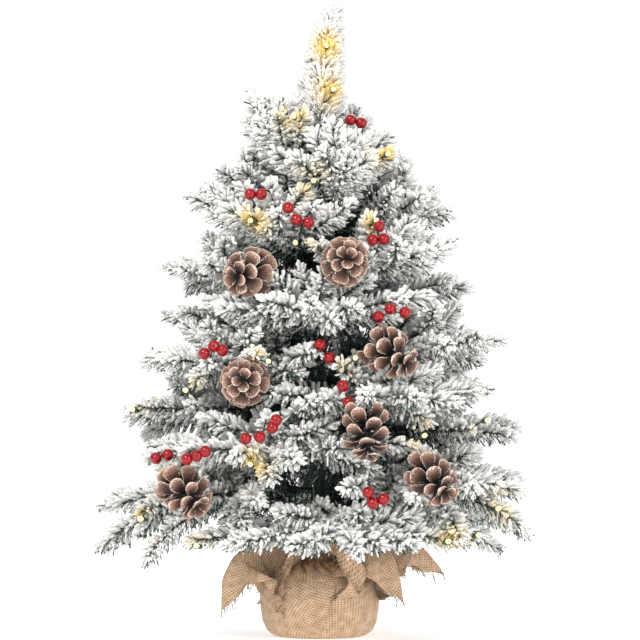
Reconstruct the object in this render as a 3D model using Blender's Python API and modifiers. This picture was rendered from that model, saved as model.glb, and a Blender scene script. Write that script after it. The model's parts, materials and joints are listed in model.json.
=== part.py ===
"""A flocked, pre-lit tabletop tree standing in a weight wrapped in burlap.

The frame has +Z up, the front of the tree looks along -Y, and the origin is the
middle of the flat underside. Everything is in metres. Each branch is a bent wire
bound to the trunk, so its own frame sits on that bend: X runs out from the trunk,
Z runs up, and turning about -Y lifts the branch.
"""

import math

import bmesh
import bpy
from mathutils import Matrix, Vector

MM = 0.001
GAP = 0.3 * MM  # between pieces that touch

# overall sizes
TREE_HEIGHT = 600 * MM
TREE_REACH = 210 * MM  # of the longest branch, from the trunk's middle

# cast weight, and the burlap gathered round it
WEIGHT_RADIUS = 53.5 * MM
WEIGHT_HEIGHT = 62 * MM
# its outside from foot to shoulder, as shares of its radius and height
WEIGHT_OUTLINE = (
    (0.76, 0.0),
    (0.89, 0.06),
    (0.96, 0.2),
    (1.0, 0.5),
    (0.99, 0.75),
    (0.93, 0.9),
    (0.80, 1.0),
)
CLOTH_THICKNESS = 1.5 * MM
NECK_RADIUS = 14 * MM
NECK_RISE = 16 * MM  # of the neck's rim above the weight
NECK_HEIGHT = WEIGHT_HEIGHT + NECK_RISE
RUFFLE_HEIGHT = 9 * MM
RUFFLE_FLARE = 8 * MM
TIE_RADIUS = 1.4 * MM
NECK_BAND = 8 * MM  # straight part of the neck, where the tie sits

# trunk
ROD_RADIUS = 4 * MM
ROD_FLOOR = 10 * MM  # cement left under the rod
TAPE_THICKNESS = 2.2 * MM
LOWEST_BRANCH = NECK_HEIGHT + 34 * MM
HIGHEST_BRANCH = 428 * MM
LEADER_ROOT = 456 * MM

# branches, set round the trunk by the golden angle
BRANCHES = 24
GOLDEN_ANGLE = math.radians(137.508)
LAST_AZIMUTH = math.radians(202)
STEM_RADIUS = 1.8 * MM
BRUSH_RADIUS = 6.5 * MM
BRUSH_END_RADIUS = 2.5 * MM
ROOT_END_RADIUS = 1.2 * MM
# height gained from root to tip, and how far the stem arches above a straight line
BOTTOM_RISE, TOP_RISE = -20 * MM, 62 * MM
BOTTOM_ARCH, TOP_ARCH = 9 * MM, -8 * MM
# each side tip: where it leaves the stem, its angle to the side, its share of the
# branch's reach, and how far it ends above the main tip
SIDE_TIPS = (
    (0.34, math.radians(17), 0.93, -4 * MM),
    (0.44, math.radians(-17), 0.95, 3 * MM),
    (0.27, math.radians(5), 0.74, 34 * MM),
)
LEADER_LEAN = 12 * MM
BARE_STEM = 0.25  # share of a stem left bare of needles at its root
SWING = 0.3  # share of the stem over which a side tip swings away from it
SWING_BEND = 0.35  # how far along its own line a side tip has finished swinging
STEM_STATIONS = (0, 0.12, 0.3, 0.5, 0.75, 1)
TIP_STATIONS = (0, 0.35, 0.7, 1)

# ornaments
CONE_RADIUS = 25 * MM
CONE_LENGTH = 46 * MM
CONE_ROWS = 5
CONE_SIDES = 8
CONE_STEP = 0.72  # radius of the gap between two rows, of the row's own
CONE_WIRE_DEPTH = 0.3  # how far behind its middle a cone is wired, of its length
ORNAMENT_WIRE = 0.8 * MM
BERRY_RADIUS = 5.6 * MM
BERRY_WIRE = 0.5 * MM
SPRAY_DEPTH = 9 * MM  # from the berries back to their knot
KNOT_RADIUS = 1.8 * MM  # of the tape that binds a spray's wires
KNOT_HOLD = 0.4  # where a berry's wire starts inside the knot, of its radius
CONE_HOLD = 22 * MM  # least distance of a cone's middle from its branch's brushes
STAND_OFF = 2 * MM  # least clearance of berries and knots from them
STAND_OFF_STEPS = 40
LIGHT_WIRE = 0.8 * MM
LIGHT_TAIL = 10 * MM  # how far the light string starts below the neck's rim
LIGHT_TOP = 8 * MM  # how far it ends below the leader
LIGHT_POINTS = 41
TAPE_END = 2 * MM  # bare rod above the tape

# each cone: across, height, share of the reach there (below 0 behind the trunk),
# and the way that its point faces
CONES = (
    (24 * MM, 357 * MM, 1.0, (0.1, -1.0, 0.15)),
    (-70 * MM, 344 * MM, 0.89, (-0.3, -0.8, -0.3)),
    (-70 * MM, 246 * MM, 0.82, (-0.1, -1.0, 0.1)),
    (70 * MM, 268 * MM, 0.92, (0.2, -0.5, -0.9)),
    (43 * MM, 194 * MM, 0.89, (0.0, -0.3, 1.0)),
    (107 * MM, 152 * MM, 0.89, (0.5, -0.7, -0.5)),
    (-120 * MM, 140 * MM, 0.89, (-0.3, -0.5, -0.8)),
    (-12 * MM, 300 * MM, -0.90, (0.0, 1.0, 0.1)),
    (-62 * MM, 215 * MM, -0.85, (-0.3, 1.0, -0.1)),
    (52 * MM, 150 * MM, -0.87, (0.2, 0.8, -0.5)),
)
# each spray: across, height, share of the reach there, and its berries' places
# across and up from the spray's middle
SPRAYS = (
    (-60 * MM, 419 * MM, 0.89, ((-5.2, 0), (5.2, 0))),
    (-20 * MM, 398 * MM, 0.89, ((-9.5, 8), (-2, -3), (9.3, -6))),
    (55 * MM, 381 * MM, 0.86, ((0, 8), (4.5, -4), (-6, -5))),
    (66 * MM, 309 * MM, 0.89, ((-12, -4), (-1, 3.5), (12.5, 0))),
    (4 * MM, 273 * MM, 0.76, ((-4, 6), (4.5, -6))),
    (-99 * MM, 275 * MM, 0.90, ((-8, -4), (1, 3), (9, -1))),
    (23 * MM, 235 * MM, 0.89, ((-2, 7), (3, -8))),
    (-51 * MM, 198 * MM, 0.89, ((-17, -4), (-4, -2.5), (7.5, 6), (11, 13))),
    (-115 * MM, 178 * MM, 0.98, ((-7, -3), (2, 0), (10, 4))),
    (-146 * MM, 176 * MM, 0.94, ((-5.5, -1.5), (5.5, 1.5))),
    (50 * MM, 140 * MM, 0.86, ((-6, 5), (-1.5, -5), (8, -1))),
    (34 * MM, 489 * MM, 0.62, ((-5, 1), (5, -2))),
    (-30 * MM, 350 * MM, -0.88, ((-8, -2), (0, 5), (9, 0))),
    (95 * MM, 215 * MM, -0.88, ((-8, 3), (1, -4), (9, 3))),
    (-110 * MM, 140 * MM, -0.88, ((-8, -2), (1, 4), (9, -1))),
)

# cloth corners that hang out of the gather: azimuth, then stations along each one as
# distance out, height above the neck's rim and half width in millimetres
CORNERS = (
    (math.radians(192), ((11, 3, 7), (24, 9, 16), (58, 14, 23), (86, 6, 20), (94, -20, 11), (93, -54, 2))),
    (math.radians(-32), ((11, 3, 7), (26, 10, 15), (58, 4, 20), (78, -18, 16), (86, -42, 4))),
    (math.radians(12), ((11, 3, 7), (26, 12, 15), (64, 16, 21), (100, 6, 20), (120, -20, 8))),
    (math.radians(104), ((11, 3, 7), (26, 10, 15), (56, 10, 21), (82, -12, 15), (88, -44, 3))),
)
CORNER_RIDGE = 0.35  # how high a corner's middle stands above its edges, of half width

TAPE_RADIUS = ROD_RADIUS + GAP + TAPE_THICKNESS
HINGE_RADIUS = TAPE_RADIUS + GAP + ROOT_END_RADIUS

COLOURS = {
    "burlap": ((0.55, 0.38, 0.22, 1), 0.95, 0.0),
    "cement": ((0.45, 0.44, 0.42, 1), 0.9, 0.0),
    "twine": ((0.42, 0.28, 0.14, 1), 0.9, 0.0),
    "steel": ((0.35, 0.35, 0.36, 1), 0.4, 1.0),
    "tape": ((0.05, 0.12, 0.07, 1), 0.6, 0.0),
    "flocked_needles": ((0.62, 0.70, 0.66, 1), 0.9, 0.0),
    "cone_scale": ((0.20, 0.10, 0.05, 1), 0.7, 0.0),
    "berry": ((0.55, 0.01, 0.02, 1), 0.15, 0.0),
    "light_wire": ((0.03, 0.08, 0.04, 1), 0.5, 0.0),
}


def clear_scene():
    for old in list(bpy.data.objects):
        bpy.data.objects.remove(old, do_unlink=True)


def collection(name):
    made = bpy.data.collections.new(name)
    bpy.context.scene.collection.children.link(made)
    return made


def material(finish):
    """A Principled material for a finish, made once."""
    made = bpy.data.materials.get(finish)
    if made:
        return made
    colour, roughness, metallic = COLOURS[finish]
    made = bpy.data.materials.new(finish)
    made.use_nodes = True
    shader = made.node_tree.nodes["Principled BSDF"]
    shader.inputs["Base Color"].default_value = colour
    shader.inputs["Roughness"].default_value = roughness
    shader.inputs["Metallic"].default_value = metallic
    made.diffuse_color = colour
    return made


def piece(name, mesh, finish, parent=None, smooth=True):
    """Put a mesh in the tree's collection as a named sub-part."""
    made = bpy.data.objects.new(name, mesh)
    TREE.objects.link(made)
    made.parent = parent
    mesh.materials.clear()
    mesh.materials.append(material(finish))
    if smooth:
        mesh.shade_smooth()
        mesh.set_sharp_from_angle(angle=math.radians(40))
    return made


def mesh_of(maker):
    """The mesh that a bmesh maker function fills in."""
    bm = bmesh.new()
    maker(bm)
    bmesh.ops.recalc_face_normals(bm, faces=bm.faces)
    mesh = bpy.data.meshes.new("shape")
    bm.to_mesh(mesh)
    bm.free()
    return mesh


def evaluated(holder):
    """A new mesh of an object as its modifiers leave it."""
    return bpy.data.meshes.new_from_object(holder.evaluated_get(bpy.context.evaluated_depsgraph_get()))


def tubes(runs, sides=6):
    """Closed tubes along runs of points, each run a list of (point, radius)."""
    curve = bpy.data.curves.new("run", "CURVE")
    curve.dimensions = "3D"
    curve.bevel_depth = 1.0
    curve.bevel_resolution = (sides - 4) // 2
    curve.use_fill_caps = True
    for run in runs:
        spline = curve.splines.new("POLY")
        spline.points.add(len(run) - 1)
        for point, (place, radius) in zip(spline.points, run):
            point.co = (*place, 1)
            point.radius = radius
    holder = bpy.data.objects.new("run", curve)
    bpy.context.scene.collection.objects.link(holder)
    mesh = evaluated(holder)
    bpy.data.objects.remove(holder)
    bpy.data.curves.remove(curve)
    bm = bmesh.new()
    bm.from_mesh(mesh)
    bmesh.ops.remove_doubles(bm, verts=bm.verts, dist=0.01 * MM)
    bmesh.ops.recalc_face_normals(bm, faces=bm.faces)
    bm.to_mesh(mesh)
    bm.free()
    return mesh


def fuse(first, *others):
    """The Boolean union of meshes."""
    body = bpy.data.objects.new("fused", first)
    bpy.context.scene.collection.objects.link(body)
    operands = []
    for mesh in others:
        operand = bpy.data.objects.new("operand", mesh)
        bpy.context.scene.collection.objects.link(operand)
        union = body.modifiers.new("union", "BOOLEAN")
        union.operation = "UNION"
        union.object = operand
        operands.append(operand)
    result = evaluated(body)
    for old in [body, *operands]:
        bpy.data.objects.remove(old)
    bm = bmesh.new()
    bm.from_mesh(result)
    bmesh.ops.triangulate(bm, faces=[f for f in bm.faces if len(f.verts) > 4])
    bm.to_mesh(result)
    bm.free()
    return result


def turned(profile, steps, name, finish):
    """A profile of (radius, height) turned about Z, closed unless both ends are on the axis."""
    bm = bmesh.new()
    ring = [bm.verts.new((r, 0, z)) for r, z in profile]
    for a, b in zip(ring, ring[1:]):
        bm.edges.new((a, b))
    if min(profile[0][0], profile[-1][0]) > 0:
        bm.edges.new((ring[-1], ring[0]))
    mesh = bpy.data.meshes.new(name)
    bm.to_mesh(mesh)
    bm.free()
    made = piece(name, mesh, finish, smooth=False)
    screw = made.modifiers.new("turn", "SCREW")
    screw.steps = screw.render_steps = steps
    screw.use_merge_vertices = True
    screw.merge_threshold = 0.01 * MM
    screw.use_smooth_shade = True
    return made


# ---------------------------------------------------------------- the crown's form


def height_share(height):
    """0 at the level of the lowest branch's tip, 1 at the top of the tree."""
    low = LOWEST_BRANCH + BOTTOM_RISE
    return max(0.0, (height - low) / (TREE_HEIGHT - low))


def reach_at(height):
    """How far the crown stands out from the trunk at a height."""
    return TREE_REACH * (1 - height_share(height) ** 1.7)


def mix(a, b, share):
    return a + (b - a) * share


class Branch:
    """A bent wire bound to the trunk: its stem, and the frame on its bend."""

    def __init__(self, number):
        share = number / (BRANCHES - 1)
        self.name = f"branch_{number + 1:02d}"
        self.azimuth = LAST_AZIMUTH + GOLDEN_ANGLE * (number - BRANCHES + 1)
        self.root = mix(LOWEST_BRANCH, HIGHEST_BRANCH, share)
        self.rise = mix(BOTTOM_RISE, TOP_RISE, share)
        self.arch = mix(BOTTOM_ARCH, TOP_ARCH, share)
        self.reach = reach_at(self.root + self.rise) - HINGE_RADIUS
        self.frame = (
            Matrix.Translation((0, 0, self.root))
            @ Matrix.Rotation(self.azimuth, 4, "Z")
            @ Matrix.Translation((HINGE_RADIUS, 0, 0))
        )

    def stem(self, share):
        """A point of the stem in the branch's own frame."""
        up = self.rise * share + 4 * self.arch * share * (1 - share)
        return Vector((self.reach * share, 0, up))

    def tip(self, leaves, angle, length, above, share):
        """A point of a side tip: it leaves along the stem and swings to its own end."""
        start = self.stem(leaves)
        along = self.stem(min(leaves + SWING, 1))
        far = self.reach * length
        end = Vector((far * math.cos(angle), far * math.sin(angle), self.rise + above))
        bend = along.lerp(end, SWING_BEND)
        return start.lerp(bend, share).lerp(bend.lerp(end, share), share)

    def runs(self):
        """The stem's and the side tips' points and radii, as built."""
        stem = brush(self.stem, STEM_STATIONS, bare=BARE_STEM)
        stem[0] = (stem[0][0], ROOT_END_RADIUS)
        tips = [brush(lambda share, t=tip: self.tip(*t, share), TIP_STATIONS) for tip in SIDE_TIPS]
        return [stem, *tips]

    def spots(self):
        """Places along the outer brushes where an ornament's wire can be twisted on."""
        found = []
        for run in self.runs():
            for (a, r), (b, q) in zip(run[1:], run[2:]):
                found += [(a.lerp(b, part / 4), mix(r, q, part / 4)) for part in range(5)]
        return found


def brush(point, shares, bare=0.0):
    """A run of (point, radius) swelling from bare wire to needles and down to the tip."""
    run = []
    for share in shares:
        filled = max(0.0, (share - bare) / (1 - bare))
        swell = math.sin(math.pi * min(filled / 0.5, 1) / 2)
        radius = mix(STEM_RADIUS, BRUSH_RADIUS, swell)
        if filled > 0.5:
            radius = mix(BRUSH_RADIUS, BRUSH_END_RADIUS, (filled / 0.5 - 1) ** 2)
        run.append((point(share), radius))
    return run


def make_branch(branch):
    hinge = bpy.data.objects.new(branch.name + "_bend", None)
    TREE.objects.link(hinge)
    hinge.matrix_world = branch.frame
    stem, *tips = branch.runs()
    mesh = fuse(tubes([stem]), *(tubes([tip]) for tip in tips))
    piece(branch.name, mesh, "flocked_needles", hinge)
    return hinge


def make_leader():
    hinge = bpy.data.objects.new("leader_bend", None)
    TREE.objects.link(hinge)
    hinge.location = (0, 0, LEADER_ROOT)
    length = TREE_HEIGHT - LEADER_ROOT - GAP

    def wire(share):
        return Vector((LEADER_LEAN * share**3, 0, GAP + length * share))

    run = brush(wire, STEM_STATIONS)
    run[0] = (run[0][0], ROOT_END_RADIUS)
    piece("leader_tip", tubes([run]), "flocked_needles", hinge)
    return hinge


# ---------------------------------------------------------------- ornaments


def crown_point(across, height, depth):
    """The place at a share of the crown's depth, in front of the trunk or behind it."""
    out = math.sqrt(max(reach_at(height) ** 2 - across**2, 0))
    return Vector((across, -out * depth, height))


def nearest_wire(place, branches):
    """The branch that a place hangs from, the place in its frame, and its nearest brush spot."""
    best = None
    for branch in branches:
        local = branch.frame.inverted() @ place
        for spot in branch.spots():
            away = (local - spot[0]).length - spot[1]
            if best is None or away < best[0]:
                best = away, branch, local, spot
    return best[1:]


def stood_off(local, branch, balls):
    """A place moved out until the balls round it, (offset, radius), clear its branch's brushes."""
    for _ in range(STAND_OFF_STEPS):
        gaps = [
            (local + offset - centre, (local + offset - centre).length - radius - thick)
            for offset, radius in balls
            for centre, thick in branch.spots()
        ]
        away, gap = min(gaps, key=lambda pair: pair[1])
        if gap >= 0:
            break
        local = local - away.normalized() * gap
    return local


def tail(stem, end, wire=ORNAMENT_WIRE):
    """A wire from a stem's surface to an ornament."""
    centre, radius = stem
    start = centre + (end - centre).normalized() * (radius + GAP + wire)
    return [(start, wire), (end, wire)]


def cone_profile():
    """An open pine cone's outline, point to stalk: it steps out at each row of scales."""
    profile = [(0, -CONE_LENGTH / 2)]
    for row in range(CONE_ROWS):
        along = (row + 0.35) / CONE_ROWS
        full = CONE_RADIUS * math.sin(math.pi * (0.12 + 0.80 * along)) ** 0.6
        profile.append((full * CONE_STEP, CONE_LENGTH * (along - 0.56)))
        profile.append((full, CONE_LENGTH * (along - 0.45)))
    profile.append((0, CONE_LENGTH / 2))
    return profile[::-1]


def cone_mesh(place, facing):
    """An open pine cone whose point faces a given way."""
    body = turned(cone_profile(), CONE_SIDES, "cone", "cone_scale")
    mesh = evaluated(body)
    bpy.data.objects.remove(body)
    turn = Vector(facing).to_track_quat("Z", "Y").to_matrix().to_4x4()
    mesh.transform(Matrix.Translation(place) @ turn)
    return mesh


def make_cone(number, spot, branches, hinges):
    across, height, depth, facing = spot
    branch, local, stem = nearest_wire(crown_point(across, height, depth), branches)
    local = stood_off(local, branch, [(Vector(), CONE_HOLD)])
    inward = branch.frame.inverted().to_3x3()
    facing = (inward @ Vector(facing)).normalized()
    back = local - facing * CONE_LENGTH * CONE_WIRE_DEPTH
    mesh = fuse(cone_mesh(local, facing), tubes([tail(stem, back)]))
    piece(f"pine_cone_{number:02d}", mesh, "cone_scale", hinges[branch.name])


def ball(centre, pole, radius):
    """A ball with its pole along a direction."""
    turn = pole.to_track_quat("Z", "Y").to_matrix().to_4x4()
    matrix = Matrix.Translation(centre) @ turn

    def fill(bm):
        bmesh.ops.create_uvsphere(bm, u_segments=8, v_segments=5, radius=radius, matrix=matrix)

    return mesh_of(fill)


def make_spray(number, spot, branches, hinges):
    across, height, depth, berries = spot
    middle = crown_point(across, height, depth)
    branch, local, stem = nearest_wire(middle, branches)
    inward = branch.frame.inverted().to_3x3()
    behind = inward @ Vector((0, -math.copysign(SPRAY_DEPTH, middle.y), 0))
    offsets = [inward @ Vector((side * MM, 0, up * MM)) for side, up in berries]
    balls = [(offset, BERRY_RADIUS + STAND_OFF) for offset in offsets]
    local = stood_off(local, branch, [(behind, KNOT_RADIUS + STAND_OFF), *balls])
    fork = local + behind
    shapes = [tubes([tail(stem, fork)], 4)]
    for offset in offsets:
        place = local + offset
        along = (place - fork).normalized()
        start = fork + along * KNOT_HOLD * KNOT_RADIUS
        shapes.append(tubes([[(start, BERRY_WIRE), (place, BERRY_WIRE)]], 4))
        shapes.append(ball(place, along.cross(Vector((0.3, 0.5, 0.8))), BERRY_RADIUS))
    knot = ball(fork, Vector((0.2, 0.4, 0.9)), KNOT_RADIUS)
    piece(f"berry_spray_{number:02d}", fuse(knot, *shapes), "berry", hinges[branch.name])


# ---------------------------------------------------------------- base and trunk


def weight_outline():
    """The cast weight's outside, from its foot to its shoulder."""
    r, h = WEIGHT_RADIUS, WEIGHT_HEIGHT
    foot = CLOTH_THICKNESS + GAP
    return [(r * a, foot + (h - foot) * b) for a, b in WEIGHT_OUTLINE]


def make_weight():
    bore = ROD_RADIUS + GAP
    outline = weight_outline()
    top = outline[-1][1]
    floor = ROD_FLOOR - GAP
    profile = [(0, floor), (bore, floor), (bore, top), *outline[::-1], (0, outline[0][1])]
    turned(profile, 24, "base_weight", "cement")


def corner_mesh(azimuth, stations):
    """A corner of the cloth: a tongue that narrows to its point, ridged along its middle."""

    def fill(bm):
        rows = []
        for out, up, half in stations:
            ridge = half * CORNER_RIDGE
            edge = NECK_HEIGHT + up * MM
            heights = {-1: edge, 0: edge + ridge * MM, 1: edge}
            rows.append([bm.verts.new((out * MM, side * half * MM, z)) for side, z in heights.items()])
        for low, high in zip(rows, rows[1:]):
            for n in range(2):
                bm.faces.new((low[n], high[n], high[n + 1], low[n + 1]))

    mesh = mesh_of(fill)
    holder = bpy.data.objects.new("corner", mesh)
    bpy.context.scene.collection.objects.link(holder)
    wall = holder.modifiers.new("cloth", "SOLIDIFY")
    wall.thickness = CLOTH_THICKNESS
    wall.offset = 0
    solid = evaluated(holder)
    bpy.data.objects.remove(holder)
    solid.transform(Matrix.Rotation(azimuth, 4, "Z"))
    return solid


def make_burlap():
    """One square of cloth: flat under the weight, up its side, gathered at the neck, corners out."""
    gap, wall = GAP, CLOTH_THICKNESS
    inner = [(r + gap, z) for r, z in weight_outline()]
    inner[0] = (inner[0][0], wall)
    inner[-1] = (inner[-1][0], inner[-1][1] + gap)
    throat = NECK_RADIUS - wall
    inner += [(throat, NECK_HEIGHT - NECK_BAND), (throat, NECK_HEIGHT)]
    inner.append((throat + RUFFLE_FLARE, NECK_HEIGHT + RUFFLE_HEIGHT))
    shoulder = len(WEIGHT_OUTLINE) - 1
    outer = [(r + wall, z) for r, z in inner]
    outer[0] = (inner[0][0], 0)
    outer[shoulder] = (outer[shoulder][0], outer[shoulder][1] + wall)
    profile = [(0, wall), *inner, *outer[::-1], (0, 0)]
    shell = turned(profile, 24, "shell", "burlap")
    body = evaluated(shell)
    bpy.data.objects.remove(shell)
    piece("burlap_wrap", fuse(body, *(corner_mesh(*c) for c in CORNERS)), "burlap")


def make_tie():
    ring = NECK_RADIUS + 2 * GAP + TIE_RADIUS

    def fill(bm):
        bmesh.ops.create_circle(bm, segments=6, radius=TIE_RADIUS)
        bmesh.ops.rotate(bm, verts=bm.verts, matrix=Matrix.Rotation(math.pi / 2, 3, "X"))
        bmesh.ops.translate(bm, verts=bm.verts, vec=(ring, 0, NECK_HEIGHT - NECK_BAND / 2))
        bmesh.ops.spin(bm, geom=bm.edges[:], axis=(0, 0, 1), steps=24, angle=2 * math.pi)
        bmesh.ops.remove_doubles(bm, verts=bm.verts, dist=0.01 * MM)

    piece("neck_tie", mesh_of(fill), "twine")


def make_trunk():
    top = LEADER_ROOT - ROOT_END_RADIUS
    r = ROD_RADIUS
    turned([(0, top), (r, top), (r, ROD_FLOOR), (0, ROD_FLOOR)], 16, "trunk_rod", "steel")
    low, high = WEIGHT_HEIGHT + 2 * GAP, top - TAPE_END
    a, b = r + GAP, TAPE_RADIUS
    turned([(b, high), (b, low), (a, low), (a, high)], 16, "trunk_tape", "tape")


def make_light_string():
    """The light string's wire, up the trunk midway between two rows of branch roots."""
    pitch = (HIGHEST_BRANCH - LOWEST_BRANCH) / (BRANCHES - 1)
    row_turn = 5 * GOLDEN_ANGLE - 4 * math.pi
    first = LAST_AZIMUTH - GOLDEN_ANGLE * (BRANCHES - 1) + math.pi / 5
    radius = TAPE_RADIUS + GAP + LIGHT_WIRE
    low, high = NECK_HEIGHT - LIGHT_TAIL, LEADER_ROOT - LIGHT_TOP
    run = []
    for step in range(LIGHT_POINTS):
        height = mix(low, high, step / (LIGHT_POINTS - 1))
        turn = first + row_turn * (height - LOWEST_BRANCH) / (5 * pitch)
        run.append((Vector((radius * math.cos(turn), radius * math.sin(turn), height)), LIGHT_WIRE))
    piece("light_string", tubes([run]), "light_wire")


clear_scene()
TREE = collection("tabletop_tree")
make_weight()
make_burlap()
make_tie()
make_trunk()
make_light_string()
ALL_BRANCHES = [Branch(number) for number in range(BRANCHES)]
HINGES = {branch.name: make_branch(branch) for branch in ALL_BRANCHES}
HINGES["leader"] = make_leader()
bpy.context.view_layer.update()
for count, spot in enumerate(CONES, 1):
    make_cone(count, spot, ALL_BRANCHES, HINGES)
for count, spot in enumerate(SPRAYS, 1):
    make_spray(count, spot, ALL_BRANCHES, HINGES)
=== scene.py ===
"""A flocked, pre-lit tabletop tree in a burlap wrapped weight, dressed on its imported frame."""

import json
import math

import bpy
import numpy as np
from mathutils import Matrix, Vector


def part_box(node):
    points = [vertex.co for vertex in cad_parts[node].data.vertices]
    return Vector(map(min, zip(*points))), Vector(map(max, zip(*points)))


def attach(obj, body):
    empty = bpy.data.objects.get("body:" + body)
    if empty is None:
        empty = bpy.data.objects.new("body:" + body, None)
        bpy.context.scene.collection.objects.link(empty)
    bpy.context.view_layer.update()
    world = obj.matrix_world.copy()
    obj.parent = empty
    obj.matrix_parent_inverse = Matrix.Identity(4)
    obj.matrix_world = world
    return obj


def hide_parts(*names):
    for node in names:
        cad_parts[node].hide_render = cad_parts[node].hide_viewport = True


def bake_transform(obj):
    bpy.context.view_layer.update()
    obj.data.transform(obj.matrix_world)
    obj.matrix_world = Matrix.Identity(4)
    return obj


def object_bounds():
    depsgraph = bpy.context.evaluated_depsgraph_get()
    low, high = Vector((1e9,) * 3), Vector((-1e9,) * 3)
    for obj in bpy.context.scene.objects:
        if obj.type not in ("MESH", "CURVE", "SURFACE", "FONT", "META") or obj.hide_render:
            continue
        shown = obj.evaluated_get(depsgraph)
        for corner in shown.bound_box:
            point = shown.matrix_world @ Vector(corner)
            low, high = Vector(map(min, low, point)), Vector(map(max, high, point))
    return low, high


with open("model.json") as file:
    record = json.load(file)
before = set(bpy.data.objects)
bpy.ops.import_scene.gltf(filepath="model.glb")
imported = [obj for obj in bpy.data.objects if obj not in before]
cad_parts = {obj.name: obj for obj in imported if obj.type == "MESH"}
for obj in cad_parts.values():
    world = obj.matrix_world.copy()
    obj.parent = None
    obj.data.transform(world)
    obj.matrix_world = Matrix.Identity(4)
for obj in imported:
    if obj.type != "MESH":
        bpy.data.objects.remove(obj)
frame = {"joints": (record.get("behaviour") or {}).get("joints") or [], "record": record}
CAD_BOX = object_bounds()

BODIES = frame["record"]["behaviour"]["bodies"]
TREE_HEIGHT = CAD_BOX[1][2]


# ------------------------------------------------------------------ camera, light and floor
# The tree stands on a plain white table in a soft, even studio light, seen from straight in
# front and a little above its middle.

CAMERA_PLACE = Vector((0.0, -4.0, 0.34))
CAMERA_AIM = Vector((0.0, 0.0, 0.3008))
VIEW_WIDTH = 0.610

camera = bpy.data.objects.new("camera", bpy.data.cameras.new("camera"))
bpy.context.scene.collection.objects.link(camera)
camera.location = CAMERA_PLACE
camera.rotation_euler = (CAMERA_AIM - CAMERA_PLACE).to_track_quat("-Z", "Y").to_euler()
camera.data.sensor_width = 36.0
camera.data.lens = camera.data.sensor_width * -CAMERA_PLACE.y / VIEW_WIDTH
bpy.context.scene.camera = camera
bpy.context.scene.view_settings.view_transform = "Standard"


def area_light(name, place, size, power, colour):
    """A square soft box at a place, facing the middle of the tree."""
    light = bpy.data.lights.new(name, "AREA")
    light.size, light.energy, light.color = size, power, colour
    made = bpy.data.objects.new(name, light)
    made.location = place
    made.rotation_euler = (CAMERA_AIM - Vector(place)).to_track_quat("-Z", "Y").to_euler()
    bpy.context.scene.collection.objects.link(made)


area_light("key_light", (-1.1, -2.2, 2.3), 0.8, 64, (1.0, 0.98, 0.95))
area_light("fill_light", (1.9, -1.9, 1.0), 1.2, 23, (0.97, 0.98, 1.0))
area_light("back_light", (0.6, 2.2, 1.9), 1.4, 28, (1.0, 1.0, 1.0))

# the walls of the studio give an even light, and look pure white behind the tree
studio = bpy.data.worlds.new("studio")
studio.use_nodes = True
walls = studio.node_tree.nodes["Background"]
looking = studio.node_tree.nodes.new("ShaderNodeLightPath")
brightness = studio.node_tree.nodes.new("ShaderNodeMath")
brightness.operation = "MULTIPLY_ADD"
brightness.inputs[1].default_value, brightness.inputs[2].default_value = 0.34, 0.74
studio.node_tree.links.new(looking.outputs["Is Camera Ray"], brightness.inputs[0])
studio.node_tree.links.new(brightness.outputs[0], walls.inputs["Strength"])
walls.inputs["Color"].default_value = (1.0, 1.0, 1.0, 1.0)
bpy.context.scene.world = studio


def mesh_of(name, points, faces, smooth=True):
    """A mesh from an array of points and arrays of equal-sided faces, loops run through in order."""
    mesh = bpy.data.meshes.new(name)
    counts = np.concatenate([np.full(len(f), f.shape[1]) for f in faces])
    corners = np.concatenate([f.ravel() for f in faces]).astype(np.int32)
    mesh.vertices.add(len(points))
    mesh.vertices.foreach_set("co", np.ascontiguousarray(points, np.float32).ravel())
    mesh.loops.add(len(corners))
    mesh.loops.foreach_set("vertex_index", corners)
    mesh.polygons.add(len(counts))
    starts = np.concatenate([[0], np.cumsum(counts)[:-1]])
    mesh.polygons.foreach_set("loop_start", starts.astype(np.int32))
    mesh.update(calc_edges=True)
    mesh.polygons.foreach_set("use_smooth", np.full(len(counts), smooth))
    return mesh


def put(name, mesh, material, body):
    """A finished piece: a mesh with its material, riding on a body."""
    made = bpy.data.objects.new(name, mesh)
    bpy.context.scene.collection.objects.link(made)
    mesh.materials.append(material)
    if body:
        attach(made, body)
    return made


def attribute(mesh, name, values):
    """A number on every point of a mesh, for its material to read."""
    made = mesh.attributes.new(name, "FLOAT", "POINT")
    made.data.foreach_set("value", np.ascontiguousarray(values, np.float32))


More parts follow.
